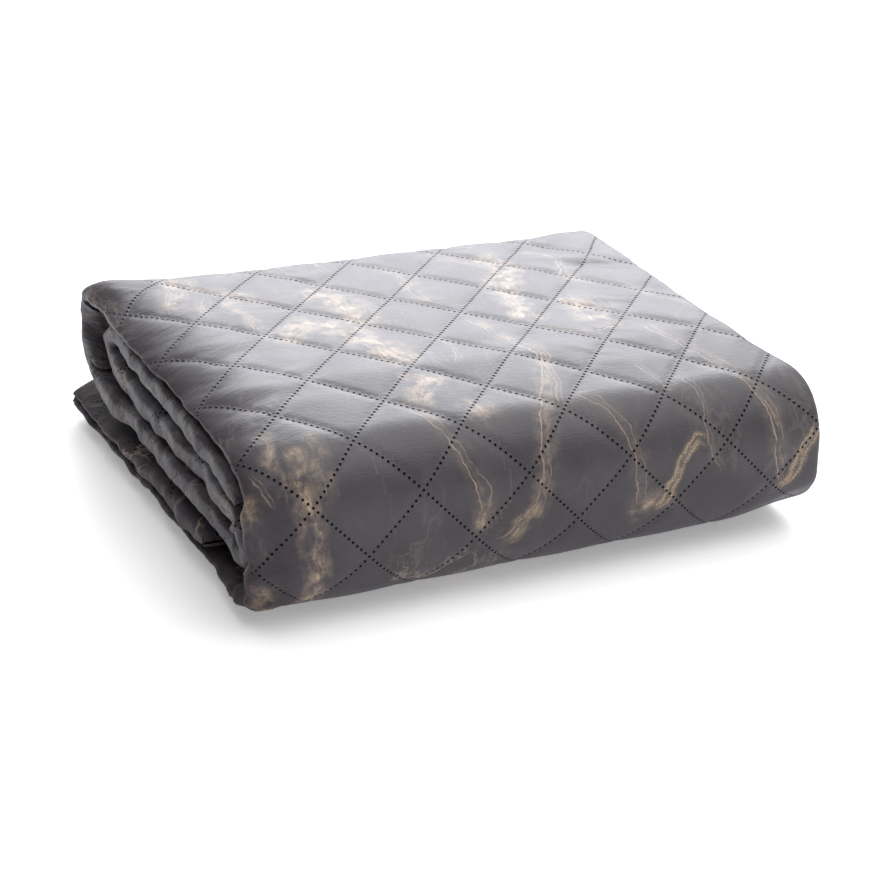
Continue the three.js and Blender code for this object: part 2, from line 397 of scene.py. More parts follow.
def strip_section(s):
    """x, w and the cloth's own u of the section at each length s, and which of its columns are fine."""
    ones = np.ones_like(s)
    left, right, inside = strip_at(s, "left"), strip_at(s, "right"), strip_at(s, "inside") - HELD_PUFF
    grid = WELD_X + np.arange(FIRST_CELL, LAST_CELL + 1) * CELL_X
    grid_left, grid_right = grid[0] * ones, grid[-1] * ones
    left_flat, right_flat = left + LEFT_TOP_ROUND, right - RIGHT_ROUND
    outer, inner = OUTSIDE * ones, -inside
    shares = lambda steps: np.linspace(0, 1, steps + 1)
    xs, ws = [], []

    def add(x, w):
        xs.append(x)
        ws.append(np.broadcast_to(w, x.shape))

    # first hem, second layer, small fold on the right
    hem_x = left + HEM_BACK
    add(blend(hem_x, right_flat, shares(DEEP_STEPS))[:, :-1], MIDDLE_GAP)
    reach, w = corner_round(outer, MIDDLE_GAP * ones, HELD_POWER * ones, SMALL_ARC_STEPS)
    add((right_flat[:, None] + RIGHT_ROUND * reach)[:, ::-1], w[:, ::-1])
    # outer face, right to left
    add(blend(right_flat, grid_right, shares(SIDE_STEPS))[:, 1:-1], outer[:, None])
    add(np.broadcast_to(grid[::-1], (len(s), len(grid))), outer[:, None])
    start_of_left = sum(x.shape[1] for x in xs)
    add(blend(grid_left, left_flat, shares(LEFT_STEPS))[:, 1:-1], outer[:, None])
    # the large fold on the left
    held = np.clip((TOP_PUFF - strip_at(s, "puff")) / (TOP_PUFF - HELD_PUFF), 0, 1) ** 2
    reach, w = corner_round(outer, inner, ROLLED_POWER + (HELD_POWER - ROLLED_POWER) * held, ARC_STEPS)
    round_size = np.where(w > 0, LEFT_TOP_ROUND, LEFT_FOOT_ROUND)
    start = left[:, None] + round_size
    add(start - round_size * reach, w)
    # inner face, then the small fold and the third layer
    foot_flat = left + LEFT_FOOT_ROUND
    add(blend(foot_flat, grid_left, shares(LEFT_STEPS))[:, 1:], inner[:, None])
    add(blend(grid_left, right_flat, shares(DEEP_STEPS))[:, 1:-1], inner[:, None])
    reach, w = corner_round(-MIDDLE_GAP * ones, inner, HELD_POWER * ones, SMALL_ARC_STEPS)
    add((right_flat[:, None] + RIGHT_ROUND * reach)[:, ::-1], w[:, ::-1])
    add(blend(right_flat, hem_x, shares(DEEP_STEPS))[:, 1:], -MIDDLE_GAP)

    x, w = np.concatenate(xs, 1), np.concatenate(ws, 1)
    span = np.hypot(np.diff(x, axis=1), np.diff(w, axis=1))
    travelled = np.concatenate([np.zeros((len(s), 1)), np.cumsum(span, 1)], 1)
    at_grid = travelled[:, start_of_left - 1]
    u = grid[0] - (travelled - at_grid[:, None])
    fine = np.zeros(x.shape[1], bool)
    fine[start_of_left - len(grid):start_of_left] = True
    return x, w, u, fine


def coarse_columns(fine):
    """The columns kept where the outer face is inside the pack."""
    keep = ~fine
    run = np.nonzero(fine)[0]
    keep[run[::-1][::COARSE]] = True
    keep[run[0]] = True
    return keep


# The cloth laid out in space


def settle(points):
    """The pack isn't quite true: lower at its right end, and the upper back fold swings out at both ends."""
    ends = next(row for row in FOLDS if row["at"] == "upper back fold, top")
    x, y, z = points[..., 0], points[..., 1], points[..., 2]
    near = lambda distance: np.exp(-((np.maximum(distance, 0) / FLARE_DECAY) ** 2))
    swing = near(x - ends["left"]) + FLARE_RIGHT * near(ends["right"] - x)
    within = (z > WITHIN_HEIGHTS[0]) & (z < WITHIN_HEIGHTS[1])
    ease = lambda value, span: smooth((value - span[0]) / (span[1] - span[0]))
    held = np.where(within, ease(y, FLARED_WITHIN), ease(y, FLARED_SKIN)) * ease(z, FLARED_HEIGHTS)
    across = (x - ends["left"]) / (ends["right"] - ends["left"])
    in_front = smooth((-y - IN_FRONT_FROM) / IN_FRONT_REACH)
    out = FOOT_OUT * near(x - ends["left"]) * in_front * smooth((FOOT_BELOW - z) / FOOT_BELOW)
    lifted = smooth((x - LIFT_FROM) / LIFT_REACH) * in_front * smooth((LIFT_BELOW - z) / LIFT_BELOW)
    points[..., 1] = y + FLARE_REACH * swing * held - out
    points[..., 2] = np.maximum(0, (z + CORNER_LIFT * lifted) * (1 - FALL_TO_RIGHT * across))
    return points


def beside(s, row, reach):
    """1 at a row of the folds table, falling away over the reach along the strip."""
    return np.exp(-(((s - along_at(row)) / reach) ** 2))[:, None]


def stand_out(s, length, x, w, u, loose, near_rim):
    """How far the cloth stands out of its section: puffs, gathers and crumples at the rim, and creases."""
    on_outer = smooth((w - OUTER_FROM) / OUTER_EASE)
    on_rim = smooth((x.min(1)[:, None] + RIM_FROM - x) / RIM_EASE)
    near_right = smooth((x - x.max(1)[:, None] + RIGHT_EASE) / RIGHT_EASE)
    full = strip_at(s, "puff")[:, None] * (1 + uneven(u, length, "puffs"))
    full = full * (1 - RIGHT_FLAT * near_right)
    off_rim = 1 - on_rim
    height = full * on_outer * off_rim + RIM_PUFF * on_rim + HELD_PUFF * (1 - on_outer) * off_rim
    gathers = RIM_RIPPLE * (uneven(u, length, "long gathers") + uneven(u, length, "short gathers"))
    inner_foot = beside(s, "inner front fold, foot", FOOT_REACH)
    foot = beside(s, "front, foot", FOOT_REACH) + INNER_CRUMPLE * inner_foot
    slanted_u = CRUMPLE_ACROSS[0] * u + CRUMPLE_ACROSS[1] * length
    slanted_t = CRUMPLE_ALONG[0] * u + CRUMPLE_ALONG[1] * length
    crumple = uneven(slanted_u, slanted_t, "crumple") + uneven(u, length, "fine crumple")
    rise = height * puff_share(u, length) + near_rim * (gathers + foot * FOOT_CRUMPLE * crumple)
    return rise + on_outer * off_rim * loose * (creased(u, length) + uneven(u, length, "swell"))


def droop(s, length, x, w, u, loose, near_rim, left_edge):
    """The section with its left end drooping and its rim rising, falling and wandering along the strip."""
    kept_up = BACK_SHARE * beside(s, "upper back fold, top", BACK_HOLD)
    to_edge = np.clip((left_edge + ROLL_REACH - x) / ROLL_REACH, 0, 1)
    fall = loose * ROLL_DROP * (1 - kept_up) * to_edge ** 2
    thin = (w + INSIDE) / (OUTSIDE + INSIDE)
    w = w - fall * thin + near_rim * RIM_WAVE * uneven(u, length, "rim rise")
    wander = uneven(u, length, "rim wander") + uneven(u, length, "rim shiver")
    x = x + near_rim * RIM_WANDER * (HELD_WANDER - (HELD_WANDER - 1) * loose) * wander
    return x, w


def spread_points():
    """The cloth's points in the frame, with their u and t, its shown rows and its fine columns."""
    t, s = row_lengths()
    length = t[:, None]
    x, w, u, fine = strip_section(s)
    left_edge = x.min(1)[:, None]
    near_rim = smooth((left_edge + NEAR_RIM_FROM - x) / NEAR_RIM_EASE)
    loose = np.clip((strip_at(s, "puff")[:, None] - HELD_PUFF) / (TOP_PUFF - HELD_PUFF), 0, 1)
    slope_x, slope_w = np.gradient(x, axis=1), np.gradient(w, axis=1)
    size = np.hypot(slope_x, slope_w) + TINY
    rise = stand_out(s, length, x, w, u, loose, near_rim)
    x, w = x + slope_w / size * rise, w - slope_x / size * rise
    x, w = droop(s, length, x, w, u, loose, near_rim, left_edge)
    end = np.clip(np.minimum(s - s[0], s[-1] - s) / END_PINCH, 0, 1)
    w = w * (END_SHARE + (1 - END_SHARE) * np.sqrt(end * (2 - end)))[:, None]
    place, heading, _ = walk(ROUTE, s)
    points = settle(np.stack([
        x,
        place[:, 0][:, None] - w * heading[:, 1][:, None],
        place[:, 1][:, None] + w * heading[:, 0][:, None],
    ], 2))
    points[..., 0] -= BOX_MIDDLE[0]
    points[..., 1] -= BOX_MIDDLE[1]
    shown = (s > along_at(SHOWN_FROM)) & (s < along_at(SHOWN_TO))
    return points, u, t, shown, fine


# The print: marble veins placed on the cloth's own u and t. Each runs through its points, twin is
# how far its second line keeps off, and a soft cloud lies between the two. Line, cloud and gilt are how
# strongly each shows. Veins of one layer stay apart.
VEIN_COLUMNS = ("layer", "line", "cloud", "gilt", "twin", "through")
VEINS = [dict(zip(VEIN_COLUMNS, row)) for row in (
    (0, 0.9, 0.42, 0.2, 4.6, ((22, 118), (34, 72), (43, 36), (30, 0), (13, -33), (-1, -72), (-7, -108))),
    (2, 0.7, 0.80, 0.7, 4.0, ((-4, -92), (-9, -112), (-22, -126), (-40, -138))),
    (0, 0.8, 0.20, 0.35, 4.4, ((-84, -12), (-68, -56), (-60, -80), (-51, -104), (-53, -118))),
    (2, 0.5, 0.80, 0.7, 3.5, ((-51, -94), (-51, -112), (-56, -132))),
    (2, 0.7, 0.22, 0.45, 5.0, ((36, -24), (48, -38), (60, -56), (67, -80), (71, -102), (74, -132))),
    (0, 0.2, 1.00, 0.7, 6.0, ((64, -140), (78, -136), (94, -132), (104, -124))),
    (0, 0.8, 0.26, 0.15, 4.2,
     ((146, 66), (150, 42), (163, 0), (174, -34), (184, -72), (189, -112), (195, -138))),
    (0, 0.8, 0.80, 0.0, 5.0, ((-198, -16), (-192, -30), (-194, -48), (-200, -62))),
    (0, 0.1, 0.90, 0.55, 4.5, ((-180, -36), (-181, -70), (-178, -104), (-173, -150), (-178, -188))),
    (0, 0.75, 0.95, 0.0, 11.0, ((-80, 214), (-66, 186), (-60, 158), (-66, 124))),
    (0, 0.7, 0.90, 0.0, 10.0, ((104, 138), (116, 112), (110, 74))),
    (0, 0.7, 0.95, 0.0, 9.0, ((78, 232), (96, 214), (78, 176), (72, 132), (58, 98))),
    (0, 0.8, 0.55, 0.0, 4.0, ((-128, 226), (-142, 196), (-134, 166), (-140, 136))),
    (0, 0.9, 0.35, 0.05, 3.5, ((128, 246), (150, 214), (142, 176), (158, 150))),
    (1, 0.8, 0.15, 0.1, 3.0, ((48, 44), (42, 18), (37, -6), (29, -26), (22, -46))),
    (1, 1.0, 1.00, 1.0, 4.2, ((86, -141), (99, -129), (106, -112), (111, -98), (120, -86), (131, -90))),
    (1, 0.9, 1.00, 0.95, 5.0, ((190, -142), (204, -132), (213, -114), (222, -98), (229, -84))),
    (1, 0.7, 0.12, 0.2, 2.5, ((180, -48), (186, -70), (192, -92))),
    (1, 0.2, 0.60, 0.5, 4.0, ((-164, -22), (-166, -62), (-168, -92))),
    (1, 0.7, 0.70, 0.0, 6.0, ((-166, 274), (-172, 242), (-182, 216), (-184, 194))),
    (1, 0.75, 0.95, 0.0, 10.0, ((-122, 104), (-100, 132), (-80, 118), (-70, 84), (-60, 40))),
    (1, 0.75, 0.90, 0.0, 8.0, ((-70, 42), (-56, 20), (-66, 2), (-78, -18))),
    (1, 0.7, 0.35, 0.05, 4.0, ((66, 84), (92, 66), (118, 62), (142, 84))),
    (1, 0.6, 0.40, 0.0, 5.0, ((-2, 250), (14, 214), (6, 176), (22, 146))),
    (1, 0.5, 0.70, 0.6, 3.5, ((-214, -66), (-217, -84), (-216, -104))),
    (1, 0.3, 0.75, 0.6, 4.5, ((-212, -140), (-208, -166), (-202, -196))),
    (1, 0.6, 0.25, 0.1, 3.0, ((176, 150), (188, 116), (206, 92), (214, 60))),
    (2, 0.8, 0.45, 0.0, 4.0, ((-160, 268), (-150, 236), (-122, 214), (-112, 184))),
    (2, 0.7, 0.40, 0.0, 4.0, ((-150, 222), (-160, 198), (-164, 176))),
    (2, 0.6, 0.10, 0.1, 2.5, ((104, 6), (110, -22), (114, -48))),
    (2, 0.5, 0.10, 0.0, 2.0, ((-212, -52), (-206, -70), (-196, -88))),
    (2, 0.6, 0.35, 0.0, 4.0, ((52, 266), (66, 240), (84, 226), (116, 250))),
    (2, 0.4, 0.30, 0.05, 5.0, ((124, 152), (132, 122), (142, 92))),
    (2, 0.5, 0.14, 0.0, 2.5, ((-16, 100), (-10, 66), (-22, 34))),
    (2, 0.5, 0.12, 0.2, 2.5, ((124, -20), (134, -48), (130, -84), (142, -116))),
    (1, 0.1, 0.60, 0.0, 7.0, ((-44, -10), (-38, -34), (-30, -54))),
)]
VEIN_LAYERS = 3
VEIN_STEP = 1.5
VEIN_TAPER = 14
VEIN_ROOM = 8
FAR = 1e6


def through(points):
    """A smooth curve through the points, in short steps."""
    points = np.array(points, float)
    ends = np.concatenate([[2 * points[0] - points[1]], points, [2 * points[-1] - points[-2]]])
    curve = []
    for a, b, c, d in zip(ends, ends[1:], ends[2:], ends[3:]):
        steps = max(2, int(np.linalg.norm(c - b) / VEIN_STEP))
        share = np.linspace(0, 1, steps, endpoint=False)[:, None]
        bend = 2 * a - 5 * b + 4 * c - d + share * (3 * (b - c) + d - a)
        curve.append(b + 0.5 * share * (c - a + share * bend))
    return np.concatenate(curve + [points[-1:]])


def vein_layer(flat, layer):
    """Each point's place along and across the nearest vein of the layer, and how that vein looks there."""
    best = np.full(len(flat), FAR)
    second = best.copy()
    vein_at, look = np.zeros((len(flat), 3)), np.zeros((len(flat), 3))
    for vein in VEINS:
        if vein["layer"] != layer:
            continue
        curve = through(vein["through"])
        tangent = np.gradient(curve, axis=0)
        tangent /= np.linalg.norm(tangent, axis=1)[:, None]
        travelled = np.concatenate([[0], np.cumsum(np.linalg.norm(np.diff(curve, axis=0), axis=1))])
        near = np.full(len(flat), FAR)
        which = np.zeros(len(flat), int)
        for i, point in enumerate(curve):
            distance = np.hypot(flat[:, 0] - point[0], flat[:, 1] - point[1])
            which[distance < near] = i
            near = np.minimum(near, distance)
        away = flat - curve[which]
        across = away[:, 1] * tangent[which, 0] - away[:, 0] * tangent[which, 1]
        along = travelled[which] + (away * tangent[which]).sum(1)
        taper = smooth(along / VEIN_TAPER) * smooth((travelled[-1] - along) / VEIN_TAPER)
        closer = near < best
        second = np.where(closer, best, np.minimum(second, near))
        best = np.minimum(best, near)
        vein_at[closer] = np.stack([along, across, vein["line"] * taper], 1)[closer]
        look[closer, 0] = vein["cloud"] * taper[closer]
        look[closer, 1:] = vein["gilt"], vein["twin"]
    alone = smooth((second - best) / VEIN_ROOM)
    vein_at[:, 2] *= alone
    look[:, 0] *= alone
    return vein_at, look


def cloth_faces(index, shown, coarse, share):
    """Two triangles in each cell, split so that the grooves stay sharp. Where the finely laid rows begin and
    end, faces with more corners join them to the coarse ones."""
    faces = []
    every = list(range(len(coarse)))
    kept = [column for column in every if coarse[column]]
    for j in range(len(index) - 1):
        here, there = index[j], index[j + 1]
        if shown[j] == shown[j + 1]:
            line = every if shown[j] else kept
            for a, b in zip(line, line[1:]):
                p, q, r, v = here[a], here[b], there[b], there[a]
                if share[j, a] + share[j + 1, b] < share[j, b] + share[j + 1, a]:
                    faces += [(p, q, r), (p, r, v)]
                else:
                    faces += [(p, q, v), (q, r, v)]
        else:
            for a, b in zip(kept, kept[1:]):
                low = [here[c] for c in range(a, b + 1) if here[c] >= 0]
                high = [there[c] for c in range(a, b + 1) if there[c] >= 0]
                faces.append(tuple(low + high[::-1]))
    return faces


def spread_mesh():
    points, u, t, shown, fine = spread_points()
    t = np.broadcast_to(t[:, None], u.shape)
    coarse = coarse_columns(fine)
    used = shown[:, None] | coarse[None, :]
    index = np.full(u.shape, -1)
    index[used] = np.arange(used.sum())
    mesh = bpy.data.meshes.new("spread")
    faces = cloth_faces(index, shown, coarse, puff_share(u, t))
    mesh.from_pydata((points[used] * MM).tolist(), [], faces)
    flat = np.stack([u[used], t[used]], 1)
    corners = np.empty(len(mesh.loops), np.int32)
    mesh.loops.foreach_get("vertex_index", corners)
    cloth_map = mesh.uv_layers.new(name="cloth")
    cloth_map.data.foreach_set("uv", (flat * MM)[corners].astype(np.float32).ravel())

    def keep_vector(name, values):
        attribute = mesh.attributes.new(name, "FLOAT_VECTOR", "POINT")
        attribute.data.foreach_set("vector", values.astype(np.float32).ravel())

    for layer in range(VEIN_LAYERS):
        vein_at, look = vein_layer(flat, layer)
        keep_vector(f"vein {layer}", vein_at)
        keep_vector(f"look {layer}", look)
    mesh.polygons.foreach_set("use_smooth", np.ones(len(mesh.polygons), bool))
    mesh.update()
    return mesh


def make_spread():
    spread = bpy.data.objects.new("quilted_spread", spread_mesh())
    bpy.context.scene.collection.objects.link(spread)
    spread.data.materials.append(printed_satin())
    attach(spread, "root")
    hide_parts("bedspread")
    return spread


class Value:
    """A value in a shader. Arithmetic on it adds Math nodes."""

    def __init__(self, tree, socket=None):
        self.tree, self.socket = tree, socket

    def add(self, kind, settings, inputs, output=0):
        """A new node of the kind: its settings first, then the values or links of its sockets."""
        node = self.tree.nodes.new(kind)
        for name, setting in settings.items():
            setattr(node, name, setting)
        for name, value in inputs.items():
            if isinstance(value, Value):
                self.tree.links.new(value.socket, node.inputs[name])
            else:
                node.inputs[name].default_value = value
        return Value(self.tree, node.outputs[output])

    def math(self, operation, *values):
        return self.add("ShaderNodeMath", {"operation": operation}, dict(enumerate(values)))

    def __add__(self, other):
        return self.math("ADD", self, other)

    def __sub__(self, other):
        return self.math("SUBTRACT", self, other)

    def __rsub__(self, other):
        return self.math("SUBTRACT", other, self)

    def __mul__(self, other):
        return self.math("MULTIPLY", self, other)

    def __truediv__(self, other):
        return self.math("DIVIDE", self, other)

    def __pow__(self, other):
        return self.math("POWER", self, other)

    def __abs__(self):
        return self.math("ABSOLUTE", self)

    __radd__, __rmul__ = __add__, __mul__

    def most(self, other):
        """The greater of the two."""
        return self.math("MAXIMUM", self, other)

    def least(self, other):
        """The smaller of the two."""
        return self.math("MINIMUM", self, other)

    def to_whole(self):
        """How far the value is from the nearest whole number."""
        return abs(self - self.math("ROUND", self))

    def hat(self, half_width):
        """1 where the value is 0, falling to 0 at the half width."""
        return (1 - abs(self) / half_width).most(0.0)

    def step(self, low, high):
        """0 below low and 1 above high, eased between; low may be the greater."""
        inputs = {"Value": self, "From Min": low, "From Max": high, "To Min": 0.0, "To Max": 1.0}
        return self.add("ShaderNodeMapRange", {"interpolation_type": "SMOOTHSTEP"}, inputs)

    def between(self, low, high):
        """low where the value is 0, high where it is 1."""
        return self * (high - low) + low

    def tint(self, plain, printed):
        """The colour plain where the value is 0, printed where it is 1."""
        return self.add("ShaderNodeMix", {"data_type": "RGBA"}, {0: self, 6: plain, 7: printed}, 2)

    def parts(self):
        return [self.add("ShaderNodeSeparateXYZ", {}, {"Vector": self}, axis) for axis in range(3)]

    def kept(self, name):
        """The three parts of a vector kept on the mesh's points."""
        return self.add("ShaderNodeAttribute", {"attribute_name": name}, {}, 1).parts()

    def noise(self, name, across, along, deeper=0):
        """A noise of the table at a place on the cloth, in millimetres."""
        row = NOISES[name]
        place = {"X": across / row["across"], "Y": along / row["along"], "Z": row["slice"] + deeper}
        noise = self.add("ShaderNodeTexNoise", {"noise_dimensions": "3D"}, {
            "Vector": self.add("ShaderNodeCombineXYZ", {}, place), "Scale": 1.0,
            "Detail": row["detail"], "Roughness": row["roughness"], "Distortion": row["distortion"],
        })
        return noise.step(*row["span"]) if row["span"] else noise


# Noises of the satin. Their grains are in millimetres across and along what they're laid on, a slice keeps
# each apart from the others, and what lies within a span is eased from 0 to 1.
NOISE_COLUMNS = ("across", "along", "detail", "roughness", "distortion", "slice", "span")
NOISES = {name: dict(zip(NOISE_COLUMNS, row)) for name, *row in (
    ("mottle", 34, 46, 3, 0.55, 0, 0, None),
    ("streak", 7, 0.9, 2, 0.6, 0, 0, None),
    ("wander", 19, 19, 2, 0.5, 0, 3, None),
    ("shiver", 4.5, 4.5, 2, 0.6, 0, 7, None),
    ("flow", 24, 30, 2, 0.5, 0, 17, None),
    ("breaks", 11, 40, 2, 0.6, 0, 41, (0.28, 0.56)),
    ("threads", 3.4, 15, 4, 0.62, 0.6, 61, (0.3, 0.78)),
    ("blotch", 13, 13, 3, 0.6, 0, 71, (0.34, 0.66)),
    ("grain", 0.9, 0.9, 1, 0.5, 0, 11, (0.46, 0.6)),
    ("marble", 95, 130, 4, 0.55, 0.8, 83, None),
    ("patches", 120, 90, 1, 0.5, 0, 97, (0.45, 0.62)),
    ("haze", 5, 16, 2, 0.6, 0, 101, (0.42, 0.7)),
    ("stain", 30, 22, 3, 0.6, 0.5, 113, (0.5, 0.72)),
    ("marks", 12, 9, 4, 0.66, 0.6, 131, (0.58, 0.74)),
    ("crinkle", 9, 2.4, 3, 0.6, 0.4, 5, None),
    ("stretch", 46, 5.5, 2, 0.5, 0, 23, None),
    ("wrinkle", 17, 9, 3, 0.5, 0.9, 29, None),
)}

# Welds: dots along both families of lines
DOTS_IN_A_SIDE = 13
DOT_PITCH = hypot(DIAMOND_LENGTH, DIAMOND_DEPTH) / 2 / DOTS_IN_A_SIDE
DOT_RADIUS = 1.04
DOT_EDGE = (1.2 * DOT_RADIUS, 0.8 * DOT_RADIUS)
DIMPLE_EDGE = (2.2 * DOT_RADIUS, 0.6 * DOT_RADIUS)
GATHERED = (9, 0)
LOST_ON_RIM = 0.65

# The large fold on the left, in the cloth's u
LEFT_RIM = -222
RIM_SPAN = (LEFT_RIM + 14, LEFT_RIM - 6)
BY_RIM_SPAN = (LEFT_RIM + 95, LEFT_RIM + 10)

# Colours, and how much of the mottle and streak is in the ground
SATIN = (0.041, 0.034, 0.041, 1)
SATIN_LIGHT = (0.058, 0.050, 0.060, 1)
WELD = (0.004, 0.0038, 0.004, 1)
CREAM = (0.52, 0.40, 0.31, 1)
GOLD = (0.43, 0.315, 0.195, 1)
STAIN = (0.062, 0.046, 0.034, 1)
RUBBED_GOLD = (0.21, 0.145, 0.085, 1)
STAINED = 0.7
MARKED = 0.5
MOTTLED, STREAKED = 0.75, 0.35
GROUND_SPAN = (0.35, 0.75)

# The print's veins. Pairs are for a plain vein and for a gilded one, or for 0 and 1 of what they go with.
WANDER, SHIVER = 9, 2.6
HEAVY_SPAN = (0.6, 1)
LINE_WIDTH = (1, 2.9)
LINE_POWER = 1.3
TWIN_PLACE = (-0.2, 2.8)
TWIN_WIDTH = (0.8, 2.7)
TWIN_STRENGTH = (0.6, 1.1)
LINE_STRENGTH = (0.9, 1.6)
BREAK_STRENGTH = (0.2, 0.95)
GRAIN_BREAKS = 0.8
VEIL_PLACE = 0.7
VEIL_WIDTH = (3.6, -0.8)
VEIL_TWIN_WIDTH = 1.9
FLOW_SLICES = 5
THREAD_DRIFT = 1.1333
THREAD_BLOTCH = (0.2, 1)
THREAD_STRENGTH = (1.25, 0.65)
BLOTCH_STRENGTH = (0.7, 0)
GRAIN_STRENGTH = 1.4
CLOUD_STRENGTH = (0.7, 0.9)
GILT_EASE = 0.05

# Faint veins and haze at two levels of the marble noise, weaker where veins are drawn
FAINT_LEVEL, FAINT_WIDTH, FAINT_STRENGTH = 0.5, 0.011, 0.5
HAZE_LEVEL, HAZE_WIDTH, HAZE_STRENGTH = 0.53, 0.05, 0.45
DRAWN_U, DRAWN_T = 5, 55
DRAWN_ACROSS, DRAWN_ALONG = (216, 236), (190, 225)
FAINT_SHARE = (0.22, 1)

# The relief, in millimetres, with how far stretches and wrinkles slant
STREAK_HEIGHT = 0.2
CRINKLE_HEIGHT = (0.15, 0.37)
PUCKER_HEIGHT = 0.3
STRETCH_HEIGHT = 0.6
STRETCH_SLANT = (0.2875, -0.32353)
WRINKLE_HEIGHT = 1.9
WRINKLE_SLANT = (0.65385, 0.375)
DIMPLE_DEPTH = 0.2

# The finish, and how much of a dull copy of it is mixed in as painted shade at the left, low on the front
# and on the rim
ROUGHNESS, MOTTLE_ROUGHNESS, STREAK_ROUGHNESS, GILT_SMOOTHNESS = 0.32, 0.14, 0.06, 0.06
GLOSS = {
    "Specular IOR Level": 0.5, "Sheen Weight": 0.18,
    "Sheen Roughness": 0.3, "Sheen Tint": (0.76, 0.8, 1, 1),
}
DULL = {"Roughness": 0.62, "Specular IOR Level": 0.16}
MELTED = {"Base Color": WELD, "Roughness": 0.9, "Specular IOR Level": 0.02}
# painted shade: how much of the dull copy darkens the rim, the left end (more towards the front) and the
# front low down
PAINTED_SHADE_RIM = 0.25
PAINTED_SHADE_LEFT, PAINTED_SHADE_LEFT_SPAN = (0.65, 0.3), (-158, -204)
PAINTED_SHADE_BACK_SPAN = (130, 230)
PAINTED_SHADE_FRONT, PAINTED_SHADE_FRONT_SPAN = 0.5, (-50, -150)


def to_welds(u, t):
    """How far each point is from the nearest weld line, and from the nearest dot."""
    lines, dots = [], []
    first, second = diamonds(u, t)
    for across, along in ((first, second), (second, first)):
        to_line = across.to_whole() * WELD_SPACING
        to_pitch = (along * DOTS_IN_A_SIDE).to_whole() * DOT_PITCH
        lines.append(to_line)
        dots.append((to_line * to_line + to_pitch * to_pitch) ** 0.5)
    return lines[0].least(lines[1]), dots[0].least(dots[1])


def vein_ink(cloth, layer, u, t, drift, grain):
    """The ink of one layer of veins, and how much of it is gilt."""
    along, across, line = cloth.kept(f"vein {layer}")
    cloud, gild, twin = cloth.kept(f"look {layer}")
    heavy = gild.step(*HEAVY_SPAN)
    first = across + drift
    second = first - twin * cloth.noise("flow", along, across, FLOW_SLICES * layer).between(*TWIN_PLACE)
    twin_line = second.hat(heavy.between(*TWIN_WIDTH)) * heavy.between(*TWIN_STRENGTH)
    lines = (first.hat(heavy.between(*LINE_WIDTH)) ** LINE_POWER).most(twin_line)
    lines = lines * cloth.noise("breaks", along, across, layer).between(*BREAK_STRENGTH)
    lines = lines * (1 - heavy * (1 - grain) * GRAIN_BREAKS) * line * heavy.between(*LINE_STRENGTH)
    veil = (first - twin * VEIL_PLACE).hat(twin * VEIL_TWIN_WIDTH + heavy.between(*VEIL_WIDTH))
    blotch = cloth.noise("blotch", u, t, layer)
    threads = cloth.noise("threads", across + drift * THREAD_DRIFT, along, layer)
    threads = threads * blotch.between(*THREAD_BLOTCH)
    woven = threads * gild.between(*THREAD_STRENGTH) + blotch * gild.between(*BLOTCH_STRENGTH)
    clouded = veil * cloud * (woven + grain * gild * threads * GRAIN_STRENGTH)
    ink = lines.most(clouded * gild.between(*CLOUD_STRENGTH))
    return ink, ink * gild


def marble_print(cloth, u, t, shiver):
    """The ink of the whole print, and the share of it that is gilt."""
    drift = (cloth.noise("wander", u, t) - 0.5) * WANDER + (shiver - 0.5) * SHIVER
    grain = cloth.noise("grain", u, t)
    ink, gilt = vein_ink(cloth, 0, u, t, drift, grain)
    for layer in range(1, VEIN_LAYERS):
        more_ink, more_gilt = vein_ink(cloth, layer, u, t, drift, grain)
        ink, gilt = ink.most(more_ink), gilt.most(more_gilt)
    marble, patches = cloth.noise("marble", u, t), cloth.noise("patches", u, t)
    faint = (marble - FAINT_LEVEL).hat(FAINT_WIDTH) * patches * FAINT_STRENGTH
    haze = (marble - HAZE_LEVEL).hat(HAZE_WIDTH) * patches * cloth.noise("haze", u, t) * HAZE_STRENGTH
    undrawn = abs(u - DRAWN_U).step(*DRAWN_ACROSS).most(abs(t - DRAWN_T).step(*DRAWN_ALONG))
    ink = ink.most(faint.most(haze) * undrawn.between(*FAINT_SHARE)).least(1.0)
    return ink, (gilt / (ink + GILT_EASE)).least(1.0)


